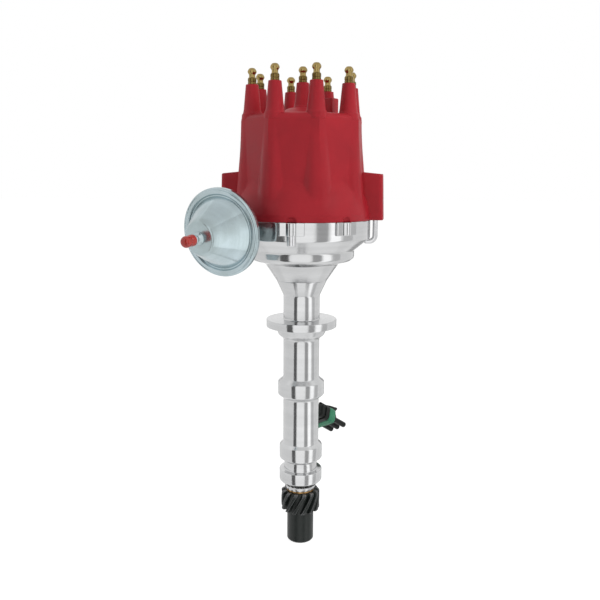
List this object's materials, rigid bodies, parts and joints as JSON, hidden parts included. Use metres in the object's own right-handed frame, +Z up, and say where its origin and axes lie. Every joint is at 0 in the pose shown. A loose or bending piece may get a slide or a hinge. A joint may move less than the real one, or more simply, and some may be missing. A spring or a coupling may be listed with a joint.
{
  "type": "ignition distributor",
  "caption": "Engine ignition distributor with a ribbed cap, turned housing, vacuum canister, helical drive gear and a flying lead with connector.",
  "frame": {"origin": "on the shaft axis, in the plane of the hold-down collar's underside, where the housing seats on the engine", "axes": "+Z up the shaft towards the cap's terminals, -Y towards the viewer of the picture, +X to the viewer's right"},
  "size_m": [0.1363, 0.1597, 0.3461],
  "materials": {
    "turned_aluminium": "fine turned",
    "bronze": "plain",
    "ground_steel": "ground",
    "black_oxide": "black oxide, oiled",
    "zinc_steel": "zinc plated",
    "spring_steel": "plain",
    "screw_steel": "zinc plated",
    "black_plastic": "satin",
    "red_plastic": "satin, fine blasted",
    "brass": "bright",
    "carbon": "plain",
    "bright_plate": "bright plated",
    "zinc_shell": "bright zinc, spun",
    "black_rubber": "matt",
    "red_vinyl": "gloss",
    "green_seal": "satin"
  },
  "bodies": {
    "housing": {"housing": "turned_aluminium", "upper_bush": "bronze", "lower_bush": "bronze", "thrust_washer": "bronze", "upper_washer": "bronze", "base_plate": "zinc_steel", "base_plate_screws": "screw_steel", "ignition_module": "black_plastic", "module_screws": "screw_steel", "plate_ring": "screw_steel", "distributor_cap": "red_plastic", "spark_terminals": "brass", "coil_terminal": "brass", "cap_contacts": "brass", "brush_spring": "spring_steel", "latch_spring_right": "spring_steel", "latch_spring_left": "spring_steel", "rim_screws": "bright_plate", "canister_front_shell": "zinc_shell", "canister_back_shell": "zinc_shell", "canister_bracket": "zinc_shell", "bracket_screws": "screw_steel", "diaphragm": "black_rubber", "canister_spring": "spring_steel", "vacuum_nipple": "zinc_shell", "lead_grommet": "black_rubber", "lead": "black_rubber", "connector_body": "black_plastic", "connector_seal": "green_seal", "connector_sockets": "black_plastic"},
    "shaft": {"shaft": "ground_steel", "drive_gear": "black_oxide", "gear_pin": "ground_steel", "gear_shim": "ground_steel", "weight_base": "zinc_steel", "weight_pivots": "ground_steel", "spring_posts": "ground_steel", "advance_springs": "spring_steel"},
    "weight_a": {"weight_a": "zinc_steel"},
    "weight_b": {"weight_b": "zinc_steel"},
    "rotor": {"advance_cam": "ground_steel", "reluctor": "ground_steel", "rotor": "red_plastic", "rotor_blade": "brass", "rotor_screw": "screw_steel", "rotor_strip": "brass"},
    "pickup": {"pickup_plate": "zinc_steel", "vacuum_pin": "ground_steel", "pickup_coil": "black_plastic", "pickup_pole": "ground_steel"},
    "vacuum_rod": {"vacuum_rod": "zinc_steel", "diaphragm_plate": "zinc_steel"},
    "nipple_plug": {"nipple_plug": "red_vinyl"},
    "carbon_brush": {"carbon_brush": "carbon"},
    "latch_push_right": {"latch_clip_right": "spring_steel"},
    "latch_turn_right": {"latch_rod_right": "bright_plate"},
    "latch_push_left": {"latch_clip_left": "spring_steel"},
    "latch_turn_left": {"latch_rod_left": "bright_plate"}
  },
  "joints": [
    {"name": "shaft_spin", "type": "hinge", "parent": "housing", "child": "shaft", "pos_m": [0, 0, 0], "axis": [0, 0, 1], "continuous": true},
    {"name": "advance_turn", "type": "hinge", "parent": "shaft", "child": "rotor", "pos_m": [0, 0, 0.064], "axis": [0, 0, -1], "range_deg": [0, 12], "stiffness_Nm_per_rad": 0.25, "deforming": ["advance_springs"]},
    {"name": "weight_a_swing", "type": "hinge", "parent": "shaft", "child": "weight_a", "pos_m": [0.02, 0, 0.06], "axis": [0, 0, -1], "range_deg": [0, 10]},
    {"name": "weight_b_swing", "type": "hinge", "parent": "shaft", "child": "weight_b", "pos_m": [-0.02, 0, 0.06], "axis": [0, 0, -1], "range_deg": [0, 10]},
    {"name": "pickup_turn", "type": "hinge", "parent": "housing", "child": "pickup", "pos_m": [0, 0, 0.0713], "axis": [0, 0, 1], "range_deg": [0, 8.5]},
    {"name": "vacuum_rod_slide", "type": "slide", "parent": "housing", "child": "vacuum_rod", "axis": [-0.4886, -0.8671, -0.0976], "range_m": [0, 0.00346], "stiffness_N_per_m": 950, "springref_m": -0.0005, "deforming": ["diaphragm", "canister_spring"]},
    {"name": "nipple_plug_pull", "type": "slide", "parent": "housing", "child": "nipple_plug", "axis": [-0.4886, -0.8671, -0.0976], "range_m": [0, 0.014]},
    {"name": "carbon_brush_slide", "type": "slide", "parent": "housing", "child": "carbon_brush", "axis": [0, 0, 1], "range_m": [0, 0.0012], "stiffness_N_per_m": 400, "springref_m": -0.001, "deforming": ["brush_spring"]},
    {"name": "latch_right_push", "type": "slide", "parent": "housing", "child": "latch_push_right", "axis": [0, 0, -1], "range_m": [0, 0.003], "stiffness_N_per_m": 2000, "springref_m": -0.0005, "deforming": ["latch_spring_right"]},
    {"name": "latch_right_turn", "type": "hinge", "parent": "latch_push_right", "child": "latch_turn_right", "pos_m": [0.05105, -0.0075, 0.0623], "axis": [0, 0, 1], "range_deg": [0, 90]},
    {"name": "latch_left_push", "type": "slide", "parent": "housing", "child": "latch_push_left", "axis": [0, 0, -1], "range_m": [0, 0.003], "stiffness_N_per_m": 2000, "springref_m": -0.0005, "deforming": ["latch_spring_left"]},
    {"name": "latch_left_turn", "type": "hinge", "parent": "latch_push_left", "child": "latch_turn_left", "pos_m": [-0.05105, 0.0075, 0.0623], "axis": [0, 0, 1], "range_deg": [0, 90]}
  ],
  "couplings": [
    {"joint": "weight_a_swing", "follows": "advance_turn", "ratio": 0.8197},
    {"joint": "weight_b_swing", "follows": "advance_turn", "ratio": 0.8197},
    {"joint": "pickup_turn", "follows": "vacuum_rod_slide", "rad_per_m": 40.293}
  ]
}
